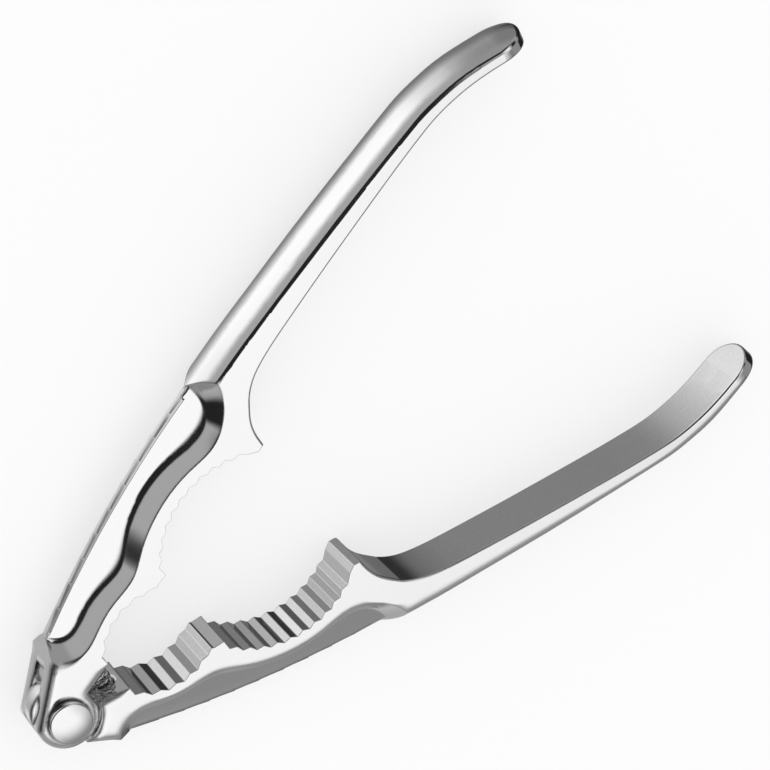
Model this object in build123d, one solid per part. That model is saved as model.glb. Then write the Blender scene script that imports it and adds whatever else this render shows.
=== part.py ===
from build123d import *
from math import atan2, cos, pi, radians, sin, sqrt, tan
import os

# A hand nutcracker: two cast levers hinged on one rivet, each with a small and a large toothed bowl,
# held open by a short coil spring beside the hinge. Millimetres, Z along the pivot axis.
# Both levers come from one outline, drawn with the jaws shut on the line y = 0, then opened.

# Levers, seen from the side with the jaws shut
lever_width = 15.0
jaw_length = 75.0
handle_length = 99.3
back_height = 20.35
half_opening_deg = 15.3
shut_gap = 0.2

# Bowls between the jaws
small_bowl_depth = 5.6
large_bowl_depth = 9.4
tooth_depth = 0.75
small_bowl_teeth = 5
large_bowl_teeth = 10
nose_gap = 1.2
nose_groove = 0.25
spur_land = 1.9
throat_share = 0.205
small_bowl_ends_share = (0.211, 0.459)
large_bowl_ends_share = (0.527, 0.935)
small_lip_share = 0.42
large_lip_share = 0.39
nose_ends_share = (0.476, 0.519)

# Handle, with points as shares of its length and of the height named beside them
handle_thickness = 7.6
tip_thickness = 5.1
tip_slope_deg = 26.0
tip_roll_radius = 20.0
crown_rise = 2.6
crown_edge_radius = 1.2
grip_edge_radius = 0.5
root_slope_deg = 72.0
crease_slopes_deg = (39.0, 33.0)
root_shares = [(0.010, 0.221), (0.030, 0.466), (0.050, 0.611), (0.070, 0.740)]
grip_shares = [
    (0.091, 0.832), (0.111, 0.893), (0.151, 0.954), (0.252, 0.992), (0.403, 1.0), (0.554, 0.989),
    (0.755, 0.947), (0.806, 0.914), (0.856, 0.840), (0.906, 0.728), (1.0, 0.416),
]
handle_back_shares = [
    (0.151, 1.015), (0.252, 1.0), (0.453, 0.965), (0.655, 0.908), (0.755, 0.876), (0.806, 0.851),
    (0.856, 0.801), (0.906, 0.736),
]

# Keel between the two side hollows, along one long arc
keel_edge = 1.8
keel_edge_round = 0.7
keel_draft_deg = 17.5
keel_step = 0.3
keel_step_share = 0.012
keel_shares = [(0.173, 0.681), (0.600, 0.934), (1.003, 1.0)]

# Hollow on each side of a lever; each rim point has its place and a share of the wall's slope
small_jaw_wall = 2.0
large_jaw_wall = 2.6
hollow_draft_deg = 32.0
hollow_fillet = 2.4
rim_hinge_shares = [(0.087, 0.660, 1.35), (0.105, 0.557, 1.30), (0.117, 0.493, 1.20), (0.151, 0.373, 1.12)]
rim_small_shares = [(0.213, 0.816, 1.03), (0.280, 0.921, 1.0), (0.360, 1.0, 1.0), (0.460, 0.960, 1.0)]
rim_large_shares = [
    (0.547, 0.800, 0.95), (0.640, 0.958, 1.0), (0.733, 1.0, 1.0), (0.827, 0.925, 1.0), (0.913, 0.812, 1.0),
]
rim_handle_shares = [(0.993, 0.562, 1.03), (1.050, 0.732, 1.12), (1.081, 0.930, 1.2), (1.083, 1.075, 1.2)]

# Hinge
barrel_radius = 7.3
barrel_play = 0.7
back_flat_share = 0.870
back_slope_deg = 25.5
hinge_edge_radius = 1.5
flat_end_share = 0.085
step_shares = [(0.119, 0.572), (0.137, 0.612)]
slot_width = 5.4
slot_run_out = 0.6
side_play = 0.1

# Rivet with a domed head on one side and a peened tail, flush in a countersink, on the other
rivet_radius = 3.0
rivet_play = 0.04
rivet_head_overhang = 2.0
rivet_head_rim = 2.1
rivet_head_rise = 0.65
rivet_rim_round = 0.3
peen_flare = 1.2

# Opening spring, bent round the pivot between two blind pockets
spring_wire = 0.8
spring_diameter = 4.7
spring_half_turns = 17
spring_start_deg = 90.0
pocket_depth = 4.2
pocket_play = 0.25
pocket_wall = 0.7
spring_seat_gap = 0.15

# One overrun for every cut
overrun = 1.0

half_width = lever_width / 2
grip_height = back_height - handle_thickness
slot_radius = barrel_radius + barrel_play
pocket_radius = spring_diameter / 2 + pocket_play
spring_reach = slot_radius + pocket_wall + pocket_radius
rivet_head_radius = rivet_radius + rivet_head_overhang


def at_slope(degrees):
    """Unit direction that rises by this many degrees."""
    return Vector(cos(radians(degrees)), sin(radians(degrees)))


def placed(shares, across, up, start=0):
    """Points from shares of a length along X and of a height."""
    return [Vector(start + across * x, up * y) for x, y in shares]


def curve(points, start_along, end_along):
    """Smooth curve through points that leaves and arrives in the given directions."""
    return Spline(*points, tangents=[start_along, end_along], tangent_scalars=(1, 1))


def bowl_points(ends_share, depth, lip_share, teeth):
    """Valleys and tooth tips of one bowl, on the arc through its two ends and its deepest point."""
    start, end = (share * jaw_length for share in ends_share)
    half_chord = (end - start) / 2
    rise = depth * (1 - lip_share)
    radius = (half_chord**2 + rise**2) / (2 * rise)
    half_angle = atan2(half_chord, radius - rise)
    points = []
    for step in range(2 * teeth + 1):
        angle = half_angle * (1 - step / teeth)
        r = radius if step % 2 == 0 else radius - tooth_depth
        points.append(Vector(start + half_chord - r * sin(angle), depth - radius + r * cos(angle)))
    return points


def jaw_points():
    """The gripping side from the hinge to the spur: throat, small bowl, nose, large bowl, spur."""
    nose_start, nose_end = (share * jaw_length for share in nose_ends_share)
    small = bowl_points(small_bowl_ends_share, small_bowl_depth, small_lip_share, small_bowl_teeth)
    large = bowl_points(large_bowl_ends_share, large_bowl_depth, large_lip_share, large_bowl_teeth)
    shoulder = large[-1] + Vector(2 * tooth_depth, -3 * tooth_depth)
    return [
        Vector(sqrt(barrel_radius**2 - shut_gap**2), shut_gap),
        Vector(throat_share * jaw_length, shut_gap),
        *small,
        Vector(nose_start, nose_gap),
        Vector(nose_start + 2 * nose_groove, nose_gap + nose_groove),
        Vector(nose_end, nose_gap),
        *large,
        shoulder,
        Vector(jaw_length - spur_land, 0),
        Vector(jaw_length, 0),
    ]


def keel_arc():
    """Outer edge of the keel."""
    return ThreePointArc(*placed(keel_shares, jaw_length, back_height))


def grip_line():
    """Inside of the handle: up from the spur to a crease, then along the grip to the tip."""
    root = placed(root_shares, handle_length, grip_height, jaw_length)
    grip = placed(grip_shares, handle_length, grip_height, jaw_length)
    into_crease, out_of_crease = crease_slopes_deg
    rise = curve([Vector(jaw_length, 0), *root], at_slope(root_slope_deg), at_slope(into_crease))
    run = curve([root[-1], *grip], at_slope(out_of_crease), at_slope(-tip_slope_deg))
    return rise, run


def rolled_off(start, along, run):
    """Point of the tip's rounded end, at a run past its start."""
    drop = tip_roll_radius - sqrt(tip_roll_radius**2 - run**2)
    return start + along * run + along.rotate(Axis.Z, -90) * drop


def handle_back():
    """Back of the handle along its middle, from the end of the keel, and its roll-off past the tip."""
    start = Vector(jaw_length + keel_step_share * handle_length, back_height + keel_step)
    grip_end = placed(grip_shares, handle_length, grip_height, jaw_length)[-1]
    along = at_slope(-tip_slope_deg)
    end = grip_end + at_slope(90 - tip_slope_deg) * tip_thickness
    points = placed(handle_back_shares, handle_length, back_height, jaw_length)
    back = curve([start, *points, end], at_slope(0), along)
    return back, TangentArc(end, rolled_off(end, along, half_width + overrun), tangent=along)


def hinge_back():
    """Flat back of the hinge and the step up from it to the keel."""
    along = at_slope(back_slope_deg)
    foot = at_slope(90 + back_slope_deg) * (back_flat_share * barrel_radius)
    corner = foot - along * (barrel_radius * sqrt(1 - back_flat_share**2))
    flat_end = foot + along * ((flat_end_share * jaw_length - foot.X) / along.X)
    keel = keel_arc()
    rise = placed(step_shares, jaw_length, back_height)
    step = curve([flat_end, *rise, keel @ 0], along, keel % 0)
    return Line(corner, flat_end), step


def lever_face():
    """Whole side profile of a lever."""
    jaw = Polyline(*jaw_points())
    rise, run = grip_line()
    back, past_tip = handle_back()
    tip_foot = run @ 1 + at_slope(-tip_slope_deg) * (half_width + overrun)
    keel = keel_arc()
    flat, step = hinge_back()
    barrel = ThreePointArc(flat @ 0, Vector(0, -barrel_radius), jaw @ 0)
    tip = [Line(run @ 1, tip_foot), Line(tip_foot, past_tip @ 1), past_tip]
    edges = [jaw, rise, run, *tip, back, Line(keel @ 1, back @ 0), keel, step, flat, barrel]
    return make_face([edge for line in edges for edge in line.edges()])


def crown_cut():
    """What lies outside the rounded back of the handle."""
    back, past_tip = handle_back()
    radius = (half_width**2 + crown_rise**2) / (2 * crown_rise)
    out = half_width + overrun
    drop = radius - sqrt(radius**2 - out**2)
    arc = ThreePointArc((-out, -drop), (0, 0), (out, -drop))
    lid = Polyline((out, -drop), (out, overrun), (-out, overrun), (-out, -drop))
    along = back % 0
    start = Plane(origin=back @ 0, x_dir=(0, 0, -1), z_dir=along)
    section = start * make_face([*arc.edges(), *lid.edges()])
    return sweep(section, path=Wire([*back.edges(), *past_tip.edges()]))


def tip_cut():
    """What lies outside the half-round end of the handle, looking square onto its flat grip."""
    foot = placed(grip_shares, handle_length, grip_height, jaw_length)[-1]
    seat = Plane(origin=foot, x_dir=at_slope(-tip_slope_deg), z_dir=at_slope(90 - tip_slope_deg))
    out = half_width + 2 * overrun
    block = Pos(out / 2, 0) * Rectangle(out, 2 * out)
    return seat * extrude(block - Circle(half_width), 2 * tip_thickness, both=True)


def edges_at(shape, points):
    """The edge of a shape that passes through each point."""
    return [min(shape.edges(), key=lambda edge: edge.distance_to(point)) for point in points]


def both_sides(points):
    """Points of the side view, set on both side faces."""
    return [point + Vector(0, 0, side * half_width) for point in points for side in (-1, 1)]


def crowned_lever():
    """A lever before its hollows and hinge: rounded back, half-round tip and softened edges."""
    body = extrude(lever_face(), half_width, both=True) - crown_cut() - tip_cut()
    back, past_tip = handle_back()
    inward = (back % 0.5).rotate(Axis.Z, -90)
    crown_sides = both_sides([back @ 0.5 + inward * crown_rise])
    crown_end = rolled_off(past_tip @ 0, past_tip % 0, half_width)
    body = fillet(edges_at(body, [*crown_sides, crown_end]), crown_edge_radius)
    rise, run = grip_line()
    grip_end = run @ 1 + (run % 1) * half_width
    grip_sides = both_sides([rise @ 0.5, run @ 0.5])
    body = fillet(edges_at(body, [*grip_sides, grip_end]), grip_edge_radius)
    flat, step = hinge_back()
    hinge_sides = both_sides([flat @ 0.5, step @ 0.5, Vector(0, -barrel_radius)])
    return fillet(edges_at(body, hinge_sides), hinge_edge_radius)


def rim_table():
    """Rim of a hollow on the side face: its points, and each one's share of the wall's slope."""
    groups = [
        (rim_hinge_shares, back_height),
        (rim_small_shares, small_bowl_depth + small_jaw_wall),
        (rim_large_shares, large_bowl_depth + large_jaw_wall),
        (rim_handle_shares, back_height),
    ]
    return [(Vector(jaw_length * x, up * y), slope) for shares, up in groups for x, y, slope in shares]


def hollow_section(height):
    """Outline of a hollow at a height above the middle of the lever, open past the back."""
    table = rim_table()
    run = (half_width - height) * tan(radians(hollow_draft_deg))
    points = []
    for i, (point, slope) in enumerate(table):
        before = table[max(i - 1, 0)][0]
        after = table[min(i + 1, len(table) - 1)][0]
        inward = (after - before).normalized().rotate(Axis.Z, 90)
        points.append(point + inward * (run * slope) + Vector(0, 0, height))
    top = back_height + lever_width
    lid = [points[-1], Vector(points[-1].X, top, height), Vector(points[0].X, top, height), points[0]]
    return make_face([*Spline(*points).edges(), *Polyline(*lid).edges()])


def round_keel(outline):
    """Ring round the keel's arc, from an outline in distance from the arc's centre and width."""
    centre = keel_arc().arc_center
    half_plane = Plane(origin=centre, x_dir=(0, -1, 0), z_dir=(-1, 0, 0))
    return revolve(half_plane * make_face(outline), Axis(centre, (0, 0, 1)), 360)


def beside_keel():
    """Ring that holds all that lies beside the keel's sloping flank."""
    edge = keel_arc().radius
    slope = tan(radians(keel_draft_deg))
    deep = back_height - small_bowl_depth
    side = half_width + overrun
    points = [
        (edge + overrun, keel_edge / 2 - overrun * slope),
        (edge - deep, keel_edge / 2 + deep * slope),
        (edge - deep, side),
        (edge + overrun, side),
    ]
    return round_keel(Polyline(*points, points[0]).edges())


def keel_rounding():
    """Ring that holds what lies outside the keel's rounded edge."""
    corner = Vector(keel_arc().radius, keel_edge / 2)
    reach = keel_edge_round * tan(radians(90 - keel_draft_deg) / 2)
    land_end = corner - Vector(0, reach)
    flank_start = corner + at_slope(180 - keel_draft_deg) * reach
    rounded = TangentArc(land_end, flank_start, tangent=(0, 1))
    side = flank_start.Y + overrun
    out = corner.X + overrun
    rest = Polyline(flank_start, (flank_start.X, side), (out, side), (out, land_end.Y), land_end)
    return round_keel([*rounded.edges(), *rest.edges()])


def hollow_cuts():
    """The hollow beside the keel on one side, its wall rounded into its floor, and the keel's rounding."""
    wall = loft([hollow_section(0), hollow_section(half_width + overrun)], ruled=True)
    hollow = wall & beside_keel()
    below_side = hollow.edges().filter_by_position(Axis.Z, 0, half_width)
    foot = below_side.filter_by(GeomType.BSPLINE).sort_by(SortBy.LENGTH)[-1]
    return fillet(foot, hollow_fillet), wall & keel_rounding()


def hollowed_lever():
    """A lever with both hollows, whole at the hinge."""
    lever = crowned_lever()
    for cut in hollow_cuts():
        lever = lever - cut - mirror(cut, Plane.XY)
    return lever


def slot_groove():
    """Run-out of the fork's slot, a shallow groove along the flat back of the hinge."""
    flat = hinge_back()[0]
    inward = (flat % 0).rotate(Axis.Z, -90)
    floor = [end + inward * slot_run_out for end in (flat @ 0, flat @ 1)]
    lid = [end - inward * overrun for end in (flat @ 1, flat @ 0)]
    return extrude(make_face(Polyline(*floor, *lid, floor[0]).edges()), slot_width / 2, both=True)


def spring_pocket():
    """Blind pocket for one end of the spring, square to the throat."""
    start = Plane(origin=(spring_reach, shut_gap - overrun, 0), z_dir=(0, 1, 0))
    return extrude(start * Circle(pocket_radius), pocket_depth + overrun)


def opened(shape, side):
    """A piece drawn shut, turned to the open pose and laid with its far face on z = 0."""
    return Pos(0, 0, half_width) * Rot(0, 0, side * half_opening_deg) * shape


def fork_lever(lever):
    """The lever with two ears, which carries the rivet."""
    slot = Cylinder(slot_radius, slot_width)
    bore = Cylinder(rivet_radius, lever_width + 2 * overrun)
    countersink = Pos(0, 0, (peen_flare - lever_width) / 2) * Cone(
        rivet_radius + peen_flare, rivet_radius, peen_flare
    )
    return opened(lever - slot - slot_groove() - bore - countersink - spring_pocket(), 1)


def tongue_lever(lever):
    """The lever with the middle tongue, shouldered round the fork's ears."""
    tongue = slot_width - 2 * side_play
    relief = (lever_width - tongue) / 2 + overrun
    shoulder = Pos(0, 0, (tongue + relief) / 2) * Cylinder(slot_radius, relief)
    bore = Cylinder(rivet_radius + rivet_play, lever_width)
    lever = lever - shoulder - mirror(shoulder, Plane.XY) - bore - spring_pocket()
    return opened(mirror(lever, Plane.XZ), -1)


def pivot_rivet():
    """Domed rivet: its head lies on one ear, its tail fills the countersink of the other."""
    rim_top = half_width + rivet_head_rim
    flared = rivet_radius + peen_flare
    outline = Polyline(
        (0, rim_top + rivet_head_rise), (0, -half_width), (flared, -half_width),
        (rivet_radius, peen_flare - half_width), (rivet_radius, half_width),
        (rivet_head_radius, half_width), (rivet_head_radius, rim_top),
    )
    dome_radius = (rivet_head_radius**2 + rivet_head_rise**2) / (2 * rivet_head_rise)
    half_way = rivet_head_radius / 2
    half_fall = dome_radius - sqrt(dome_radius**2 - half_way**2)
    dome = ThreePointArc(outline @ 1, (half_way, rim_top + rivet_head_rise - half_fall), outline @ 0)
    rivet = revolve(Plane.XZ * make_face([*outline.edges(), *dome.edges()]), Axis.Z, 360)
    rim = min(rivet.edges(), key=lambda edge: edge.distance_to(Vector(rivet_head_radius, 0, rim_top)))
    return Pos(0, 0, half_width) * fillet(rim, rivet_rim_round)


def spring_line(share):
    """A point of the spring and its direction, at a share of its length from the fork's pocket."""
    half_opening = radians(half_opening_deg)
    straight = shut_gap + pocket_depth - spring_seat_gap - spring_wire / 2
    bend = 2 * half_opening * spring_reach
    length = 2 * straight + bend
    run = share * length
    bent = min(max(run - straight, 0), bend)
    angle = half_opening - bent / spring_reach
    out = Vector(cos(angle), sin(angle))
    along = Vector(sin(angle), -cos(angle))
    middle = out * spring_reach + along * (run - straight - bent)
    coil_radius = (spring_diameter - spring_wire) / 2
    turned = pi * spring_half_turns * share + radians(spring_start_deg)
    point = middle + (out * cos(turned) + Vector(0, 0, 1) * sin(turned)) * coil_radius
    stretch = 1 + (coil_radius * cos(turned) / spring_reach if 0 < bent < bend else 0)
    advance = along * (length * stretch)
    spin = (Vector(0, 0, 1) * cos(turned) - out * sin(turned)) * (pi * spring_half_turns * coil_radius)
    return point, (advance + spin).normalized()


def biarc(start, start_along, end, end_along):
    """Two arcs that leave one point and reach another in the given directions."""
    chord = end - start
    both = start_along + end_along
    bend = 1 - start_along.dot(end_along)
    reach = (sqrt(chord.dot(both) ** 2 + 2 * bend * chord.dot(chord)) - chord.dot(both)) / (2 * bend)
    joint = (start + start_along * reach + end - end_along * reach) * 0.5
    first = TangentArc(start, joint, tangent=start_along)
    return [first, TangentArc(joint, end, tangent=first % 1)]


def spring_path():
    """Centre line of the spring wire, as two arcs to each half turn."""
    steps = spring_half_turns
    knots = [spring_line(step / steps) for step in range(steps + 1)]
    arcs = [arc for (a, da), (b, db) in zip(knots, knots[1:]) for arc in biarc(a, da, b, db)]
    return Wire([edge for arc in arcs for edge in arc.edges()])


def spring_gap(path):
    """Least clear distance between the spring's turns, from points along its centre line."""
    count = 48 * spring_half_turns
    points = [tuple(path @ (step / count)) for step in range(count + 1)]
    apart = count // spring_half_turns
    near = min(
        sum((a - b) ** 2 for a, b in zip(points[i], points[j]))
        for i in range(count + 1)
        for j in range(i + apart, min(i + 3 * apart, count + 1))
    )
    return sqrt(near) - spring_wire


def opening_spring():
    """Coil spring bent round the pivot, as one unbroken round wire."""
    path = spring_path()
    print(f"least gap between the spring's turns: {spring_gap(path):.2f} mm")
    start = Plane(origin=path @ 0, z_dir=path % 0)
    return Pos(0, 0, half_width) * sweep(start * Circle(spring_wire / 2), path=path)


lever = hollowed_lever()
pieces = {
    "fork_lever": fork_lever(lever),
    "tongue_lever": tongue_lever(lever),
    "pivot_rivet": pivot_rivet(),
    "opening_spring": opening_spring(),
}
os.makedirs("parts", exist_ok=True)
for name, piece in pieces.items():
    export_step(piece, f"parts/{name}.step")
    print(name, "volume", round(piece.volume, 1), "valid", piece.is_valid)
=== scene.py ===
from math import atan2, cos, pi, radians, sin
import bmesh
import bpy
from mathutils import Matrix, Vector


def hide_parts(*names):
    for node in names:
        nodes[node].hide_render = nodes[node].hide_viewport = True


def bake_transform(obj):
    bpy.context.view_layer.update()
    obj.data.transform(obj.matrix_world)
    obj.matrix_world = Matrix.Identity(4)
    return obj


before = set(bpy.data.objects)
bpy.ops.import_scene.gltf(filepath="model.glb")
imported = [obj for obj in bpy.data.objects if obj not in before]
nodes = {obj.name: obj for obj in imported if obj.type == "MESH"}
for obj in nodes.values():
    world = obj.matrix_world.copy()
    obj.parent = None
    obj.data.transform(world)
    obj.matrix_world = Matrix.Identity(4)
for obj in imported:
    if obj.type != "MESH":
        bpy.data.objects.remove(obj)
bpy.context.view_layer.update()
print("frame loaded:", ", ".join(sorted(nodes)))

halfOpening = radians(15.3)  # each lever's turn from the line between the jaws
middleHeight = 0.0075  # middle of the levers' width


class Sock:
    def __init__(self, shader, link):
        self.shader, self.link = shader, link

    def math(self, kind, *others):
        return self.shader.node("ShaderNodeMath", {"operation": kind}, dict(enumerate((self, *others))))

    def __add__(self, other):
        return self.math("ADD", other)

    def __sub__(self, other):
        return self.math("SUBTRACT", other)

    def __mul__(self, other):
        return self.math("MULTIPLY", other)

    def __truediv__(self, other):
        return self.math("DIVIDE", other)

    def __rsub__(self, other):
        return self * -1 + other

    __radd__ = __add__
    __rmul__ = __mul__

    def step(self, low, high, start=0.0, end=1.0):  # soft step between two values
        settings = {"interpolation_type": "SMOOTHSTEP"}
        values = {"Value": self, "From Min": low, "From Max": high, "To Min": start, "To Max": end}
        return self.shader.node("ShaderNodeMapRange", settings, values)

    def fade(self, low, high):  # soft step from one down to nothing
        return self.step(low, high, 1.0, 0.0)

    def output(self, name):  # another output of the same node
        return Sock(self.shader, self.link.node.outputs[name])


class Shader:
    def __init__(self, owner):
        owner.use_nodes = True
        self.tree = owner.node_tree
        self.tree.nodes.clear()

    def node(self, kind, settings=None, sockets=None, out=0):
        made = self.tree.nodes.new(kind)
        for name, value in (settings or {}).items():
            setattr(made, name, value)
        for name, value in (sockets or {}).items():
            if isinstance(value, Sock):
                self.tree.links.new(value.link, made.inputs[name])
            else:
                made.inputs[name].default_value = value
        return Sock(self, made.outputs[out]) if len(made.outputs) else None

    def mix(self, share, low, high):  # colours
        values = {0: share, 6: (*low, 1) if isinstance(low, tuple) else low}
        values[7] = (*high, 1) if isinstance(high, tuple) else high
        return self.node("ShaderNodeMix", {"data_type": "RGBA"}, values, 2)

    def noise(self, place, scale, detail):
        return self.node("ShaderNodeTexNoise", None, {"Vector": place, "Scale": scale, "Detail": detail})

    def split(self, vector):
        parts = self.node("ShaderNodeSeparateXYZ", None, {0: vector})
        return [Sock(self, output) for output in parts.link.node.outputs]


# Camera of the photograph
cameraSet = {
    "place": (0.032373, 0.392361, 0.668087), "turn": (-20.71935, -23.19212, -35.87397),
    "sensor": 36, "focalPixels": 3412, "picturePixels": 770,
}

camera = bpy.data.objects.new("camera", bpy.data.cameras.new("camera"))
bpy.context.scene.collection.objects.link(camera)
camera.location = cameraSet["place"]
camera.rotation_euler = [radians(a) for a in cameraSet["turn"]]
camera.data.sensor_width = cameraSet["sensor"]
camera.data.lens = cameraSet["focalPixels"] * cameraSet["sensor"] / cameraSet["picturePixels"]
bpy.context.scene.camera = camera
bpy.context.scene.view_settings.view_transform = "Standard"


# Studio: what the chrome mirrors from each side, a pale room for everything else. A pair is where a field
# starts and ends by direction, with x towards the handles, y towards the fork lever and z up.
studio = {"room": 0.95, "backdrop": 0.98, "horizon": (0.38, 0.29), "horizonX": (0.15, 0.45), "dark": 0.015}
softboxSet = {
    "level": 1.0, "grey": 0.25, "edgeZ": (0.58, 0.90), "rightX": (0.05, 0.45), "right": (1.0, 0.62),
    "greyX": (0.50, 0.70), "greyGain": (1.0, 1.6),
}
darkSet = {
    "slant": 0.35, "turnX": (-0.30, -0.12), "edge": (-0.06, 0.04), "width": (0.34, 0.09),
    "paler": 0.80, "palerX": (0.10, 0.60), "palerEndX": (0.66, 0.82), "palerEndY": (0.48, 0.60),
    "palerZ": (0.2, 0.6), "palerLow": (0.4, 1.0), "liftX": (-0.75, -0.15), "lift": 0.10, "liftZ": (0.05, 0.26),
}
tableSet = {
    "under": 0.25, "gain": 1.35, "nearX": (-0.10, 0.06), "near": (1.25, 1.0),
    "leftX": (-0.80, -0.15), "left": (0.2, 1.0), "rightX": (-0.20, 0.55), "right": (1.05, 0.20),
    "frontY": -0.8, "frontEndX": (0.10, 0.40), "frontEndY": (0.0, -0.35), "front": (0.2, 1.0),
    "band": 0.75, "bandX": (0.35, 0.50), "bandY": (-0.22, -0.08), "bandEndY": (0.02, 0.30),
    "glowX": (-0.42, -0.22), "glow": (0.32, 0.0), "glowY": (-0.20, -0.06),
    "farZ": (-0.36, -0.02), "edgeZ": (-0.03, 0.03),
}
farSet = {
    "leftX": (-0.83, -0.68), "leftZ": (-0.30, -0.10), "leftY": (-0.10, 0.15),
    "rightX": (0.50, 0.68), "rightZ": (-0.12, 0.0), "rightY": (-0.72, -0.58), "rightEndY": (0.25, 0.45),
}


def makeAbove(x, y, z, horizon):
    box, side = softboxSet, darkSet
    grey = box["grey"] * x.step(*box["greyX"], *box["greyGain"])
    softbox = z.step(*box["edgeZ"], grey, box["level"]) * x.step(*box["rightX"], *box["right"])
    start, width = x.step(*side["turnX"], *side["edge"]), x.step(*side["turnX"], *side["width"])
    share = ((y + x * side["slant"] - start) / width).step(0.0, 1.0)
    paler = x.step(*side["palerX"], 0.0, side["paler"]) * x.fade(*side["palerEndX"])
    paler = paler * z.step(*side["palerZ"], *side["palerLow"]) * y.fade(*side["palerEndY"])
    lift = (z - x.step(*side["liftX"]) * side["lift"]).step(*side["liftZ"])
    low = horizon + (paler + studio["dark"] - horizon) * lift
    return softbox + (low - softbox) * share


def makeTable(x, y, z, horizon):
    t = tableSet
    table = (t["under"] + (1 - z * z) * t["gain"]) * x.step(*t["nearX"], *t["near"])
    table = table.math("MINIMUM", 1.0) * x.step(*t["leftX"], *t["left"]) * x.step(*t["rightX"], *t["right"])
    table = table * y.step(t["frontY"], x.step(*t["frontEndX"], *t["frontEndY"]), *t["front"])
    table = table * (1 - x.step(*t["bandX"]) * y.step(*t["bandY"]) * y.fade(*t["bandEndY"]) * t["band"])
    table = table + x.step(*t["glowX"], *t["glow"]) * y.fade(*t["glowY"])
    return table + (horizon - table) * z.step(*t["farZ"])


def makeStudio():
    world = bpy.data.worlds.new("studio")
    bpy.context.scene.world = world
    s = Shader(world)
    x, y, z = s.split(s.node("ShaderNodeTexCoord"))
    horizon = x.step(*studio["horizonX"], *studio["horizon"])
    above, table = makeAbove(x, y, z, horizon), makeTable(x, y, z, horizon)
    seen = table + (above - table) * z.step(*tableSet["edgeZ"])
    far = farSet
    farLeft = x.fade(*far["leftX"]) * z.step(*far["leftZ"]) * y.step(*far["leftY"])
    farRight = x.step(*far["rightX"]) * z.fade(*far["rightZ"]) * y.step(*far["rightY"]) * y.fade(*far["rightEndY"])
    seen = seen + (studio["dark"] - seen) * farLeft.math("MAXIMUM", farRight)
    path = s.node("ShaderNodeLightPath")
    level = studio["room"] + (seen - studio["room"]) * path.output("Is Glossy Ray")
    level = level + (studio["backdrop"] - level) * path.output("Is Camera Ray")
    back = s.node("ShaderNodeBackground", None, {"Color": level, "Strength": 1.0})
    s.node("ShaderNodeOutputWorld", None, {"Surface": back})


# White paper under the object, which glows only for the camera
floorSet = {"size": 4, "color": (0.36, 0.36, 0.36, 1), "glow": 0.64}


def makeFloor():
    bm = bmesh.new()
    bmesh.ops.create_grid(bm, x_segments=1, y_segments=1, size=floorSet["size"])
    mesh = bpy.data.meshes.new("floor")
    bm.to_mesh(mesh)
    bm.free()
    floor = bpy.data.objects.new("floor", mesh)
    bpy.context.scene.collection.objects.link(floor)
    material = bpy.data.materials.new("floorPaper")
    s = Shader(material)
    direct = s.node("ShaderNodeLightPath").output("Is Camera Ray")
    values = {"Base Color": floorSet["color"], "Roughness": 1.0, "Specular IOR Level": 0.0,
              "Emission Color": (1, 1, 1, 1), "Emission Strength": direct * floorSet["glow"]}
    body = s.node("ShaderNodeBsdfPrincipled", None, values)
    s.node("ShaderNodeOutputMaterial", None, {"Surface": body})
    mesh.materials.append(material)
    floor.visible_glossy = False


makeStudio()
makeFloor()
print("studio and camera made")


# Bright chrome over a casting: faint ripple, orange peel, fine rubbing marks, and painted shade round the rivet's
# head (a darker, rougher ring at its foot)
chromeSet = {
    "color": (0.95, 0.95, 0.955), "roughness": 0.05, "flatEdge": 0.0003, "hollowEdge": 0.0020,
    "sideEdge": 0.0004, "hingeEdge": 0.0024, "ripple": 0.000012, "peel": 0.0000008,
}
rivetSet = dict(chromeSet, color=(0.93, 0.93, 0.935), hollowEdge=0.0003, hingeEdge=0.0, ripple=0.000003)
wireSet = dict(rivetSet, color=(0.62, 0.62, 0.62), roughness=0.16, hollowEdge=0.00005, sideEdge=0.00005)

# Zones of a lever: pairs of distances from the pivot between which each begins or ends
zones = {
    "hinge": (0.012, 0.016), "hingeFace": (0.0125, 0.0135), "spur": (0.070, 0.074), "jawEnd": (0.072, 0.076),
    "landEnd": (0.0755, 0.0765), "flankEnd": (0.076, 0.078), "handle": (0.076, 0.082),
    "hollowEnd": (0.082, 0.086), "spurEnd": (0.085, 0.095), "lower": (-0.001, 0.001),
}
# Faces by how far they look sideways, from 0 for a back or jaw to 1 for a flat side
tilts = {"marked": (0.02, 0.10), "hollow": (0.1, 0.5), "wall": (0.60, 0.90), "flank": (0.80, 0.88),
         "side": (0.97, 0.995), "flankEnd": (0.975, 0.985)}
# Shares of the edge radii, which the Bevel node rounds in shading only
shares = {"wall": (0.55, 1.7), "upper": 0.30, "spur": 0.20, "rim": 3, "handle": 2.0, "lowerHandle": 4.0}
bowls = [(0.02513, -0.00934, 0.01494), (0.05483, -0.01388, 0.02328)]  # centre and radius of each bowl
rimWidth = (0.0011, 0.0015)
outerLine = {"x": (0.145, 0.195), "y": (0.0142, 0.0021), "soft": (-0.0005, 0.0020)}  # back half of a handle
keel = {
    "land": (0.00117, 0.00127), "hollow": (0.0016, 0.0034),
    "crown": (0.0012, 0.0042), "crownShare": (0.40, 0.0),
}
# Painted crevice shade: a dark colour and rougher chrome in a ring where the rivet's head meets the lever
creviceShade = {
    "shadeColor": (0.13, 0.125, 0.12), "headRadius": 0.0050, "headFoot": 0.0150, "spread": 0.0009, "rise": 2.2,
    "patches": (0.25, 0.6), "least": (0.75, 1.0), "rough": 0.3,
}
marks = {"patches": (0.3, 0.7), "share": (0.16, 0.04), "darker": 0.5, "smears": (0.35, 0.7), "smearRough": 0.05}


def turnedShut(x, y):  # place in a lever's own drawing, jaws shut, from its place at rest
    c, s = cos(halfOpening), sin(halfOpening)
    return x * c + y * s, y * c - x * s


def offArc(across, up, bowl):
    x, y = across - bowl[0], up - bowl[1]
    return (x * x + y * y).math("SQRT") - bowl[2]


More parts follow.
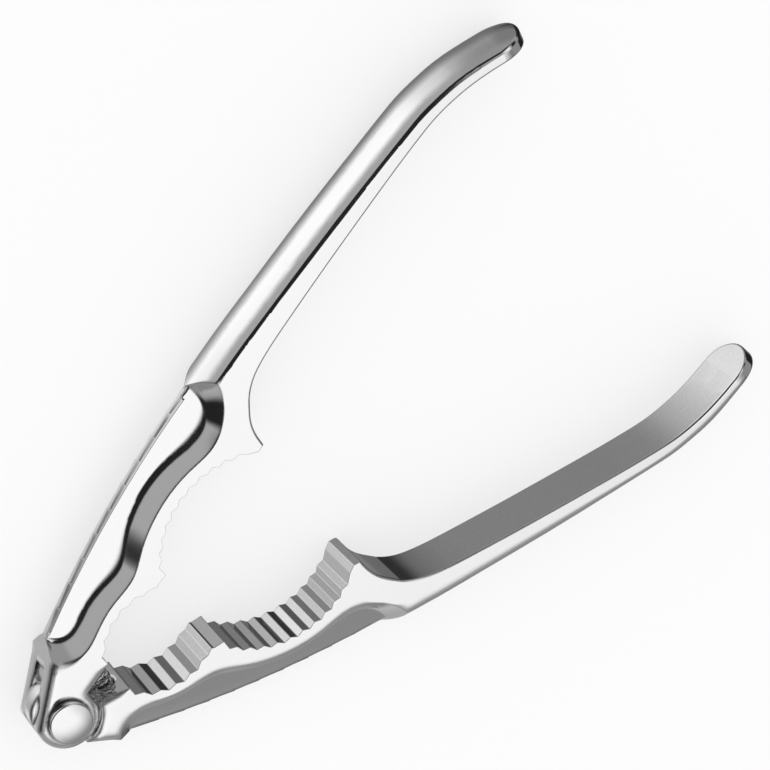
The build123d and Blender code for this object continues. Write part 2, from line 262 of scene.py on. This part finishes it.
def edgeRadius(x, y, reach, upright, aside, flatEdge, hollowEdge, sideEdge, hingeEdge):
    hollow = aside.step(*keel["hollow"]) * upright.step(*tilts["hollow"]) * reach.fade(*zones["hollowEnd"])
    radius = flatEdge + hollow * (upright.step(*tilts["wall"], *shares["wall"]) * hollowEdge - flatEdge)
    across, up = turnedShut(x, y.math("ABSOLUTE"))
    fromBowls = offArc(across, up, bowls[0]).math("MINIMUM", offArc(across, up, bowls[1]))
    lower = y.fade(*zones["lower"])
    rim = fromBowls.step(*rimWidth) * lower * reach.step(*zones["hinge"]) * reach.fade(*zones["jawEnd"])
    outer = (up - across.step(*outerLine["x"], *outerLine["y"])).step(*outerLine["soft"])
    handle = outer * (shares["handle"] + lower * shares["lowerHandle"]) * reach.step(*zones["handle"])
    spur = reach.step(*zones["spur"]) * reach.fade(*zones["spurEnd"])
    crisp = shares["upper"] + spur * shares["spur"]
    sides = sideEdge * (crisp + (1 - crisp) * lower + rim * shares["rim"] + handle)
    return radius + (sides - radius) * upright.step(*tilts["side"]) + reach.fade(*zones["hinge"]) * hingeEdge


def makeChrome(name, color, roughness, flatEdge, hollowEdge, sideEdge, hingeEdge, ripple, peel):
    material = bpy.data.materials.new(name)
    s = Shader(material)
    place = s.node("ShaderNodeTexCoord").output("Object")
    x, y, z = s.split(place)
    reach = (x * x + y * y).math("SQRT")
    aside = (z - middleHeight).math("ABSOLUTE")
    upright = s.split(s.node("ShaderNodeNewGeometry").output("Normal"))[2].math("ABSOLUTE")
    radius = edgeRadius(x, y, reach, upright, aside, flatEdge, hollowEdge, sideEdge, hingeEdge)
    nx, ny, nz = s.split(s.node("ShaderNodeBevel", {"samples": 8}, {"Radius": radius}))
    land = aside.step(*keel["land"]).math("MAXIMUM", reach.fade(*zones["hingeFace"]))
    land = land.math("MAXIMUM", reach.step(*zones["landEnd"]))
    flank = upright.step(*tilts["flank"]) * upright.fade(*tilts["flankEnd"])
    flank = flank * reach.step(*zones["hingeFace"]) * reach.fade(*zones["flankEnd"])
    crowned = 1 - flank * aside.step(*keel["crown"], *keel["crownShare"])
    turned = s.node("ShaderNodeCombineXYZ", None, {0: nx * crowned, 1: ny * crowned, 2: nz * land})
    turned = s.node("ShaderNodeVectorMath", {"operation": "NORMALIZE"}, {0: turned})
    height = s.noise(place, 160, 1) * ripple + s.noise(place, 1400, 2) * peel
    bump = s.node("ShaderNodeBump", None, {"Height": height, "Distance": 1.0, "Strength": 1.0, "Normal": turned})
    # painted shade: darkens the base colour and raises the roughness in a slightly patchy ring at the rivet's foot
    ring = (reach - creviceShade["headRadius"]).math("ABSOLUTE").fade(0.0, creviceShade["spread"])
    foot = (z - creviceShade["headFoot"]).math("ABSOLUTE").fade(0.0, creviceShade["rise"] * creviceShade["spread"])
    creviceShadeMask = ring * foot * s.noise(place, 900, 2).step(*creviceShade["patches"], *creviceShade["least"])
    grain = s.noise(place, 2600, 2).step(*marks["patches"]) * upright.step(*tilts["marked"], *marks["share"])
    paint = s.mix(grain, color, tuple(marks["darker"] * c for c in color))
    smear = s.noise(place, 60, 3).step(*marks["smears"], roughness, roughness + marks["smearRough"])
    values = {"Base Color": s.mix(creviceShadeMask, paint, creviceShade["shadeColor"]), "Metallic": 1.0, "Normal": bump,
              "Roughness": smear + creviceShadeMask * creviceShade["rough"]}
    body = s.node("ShaderNodeBsdfPrincipled", None, values)
    s.node("ShaderNodeOutputMaterial", None, {"Surface": body})
    return material


leverChrome = makeChrome("leverChrome", **chromeSet)
rivetChrome = makeChrome("rivetChrome", **rivetSet)
springWire = makeChrome("springWire", **wireSet)
for name in ("fork_lever", "tongue_lever", "pivot_rivet"):
    mesh = nodes[name].data
    mesh.materials.clear()
    mesh.materials.append(rivetChrome if name == "pivot_rivet" else leverChrome)
    print(name, [round(v, 4) for v in nodes[name].matrix_world.translation], "dressed")


# Opening spring, a coil bent round the pivot from one lever's pocket to the other's
springSet = {"wire": 0.0008, "coilRadius": 0.00195, "turns": 8.5, "startDeg": 90, "reach": 0.0113,
             "straight": 0.00385, "sides": 16, "stepsPerTurn": 28, "weld": 1e-7}


def bentPoint(run, out, up):  # a point beside the spring's middle line, from its place on a straight spring
    bend = 2 * halfOpening * springSet["reach"]
    bent = min(max(run - springSet["straight"], 0), bend)
    angle = halfOpening - bent / springSet["reach"]
    away = Vector((cos(angle), sin(angle), 0))
    along = Vector((sin(angle), -cos(angle), 0))
    place = away * (springSet["reach"] + out) + along * (run - springSet["straight"] - bent)
    return place + Vector((0, 0, middleHeight + up))


def makeSpring():
    turns, radius = springSet["turns"], springSet["coilRadius"]
    springLength = 2 * springSet["straight"] + 2 * halfOpening * springSet["reach"]
    steps = int(turns * springSet["stepsPerTurn"])
    bm = bmesh.new()
    lean = Matrix.Rotation(-atan2(springLength / turns, 2 * pi * radius), 4, "X")
    start = Matrix.Translation((radius, 0, 0)) @ lean
    turn = Matrix.Rotation(radians(springSet["startDeg"]), 3, "Y")
    ring = bmesh.ops.create_circle(bm, segments=springSet["sides"], radius=springSet["wire"] / 2, cap_ends=True)
    bmesh.ops.transform(bm, verts=ring["verts"], matrix=start)
    bmesh.ops.rotate(bm, verts=ring["verts"], cent=(0, 0, 0), matrix=turn)
    bmesh.ops.spin(bm, geom=bm.faces[:] + bm.edges[:] + bm.verts[:], cent=(0, 0, 0), axis=(0, -1, 0),
                   dvec=(0, springLength / steps, 0), angle=2 * pi * turns, steps=steps, use_duplicate=False)
    for vert in bm.verts:
        vert.co = bentPoint(vert.co.y, vert.co.x, vert.co.z)
    bmesh.ops.remove_doubles(bm, verts=bm.verts, dist=springSet["weld"])
    bmesh.ops.recalc_face_normals(bm, faces=bm.faces)
    mesh = bpy.data.meshes.new("coil")
    bm.to_mesh(mesh)
    bm.free()
    mesh.shade_smooth()
    mesh.materials.append(springWire)
    spring = bpy.data.objects.new("coil", mesh)
    bpy.context.scene.collection.objects.link(spring)
    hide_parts("opening_spring")
    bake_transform(spring)
    print("spring coiled:", len(mesh.polygons), "faces")


makeSpring()
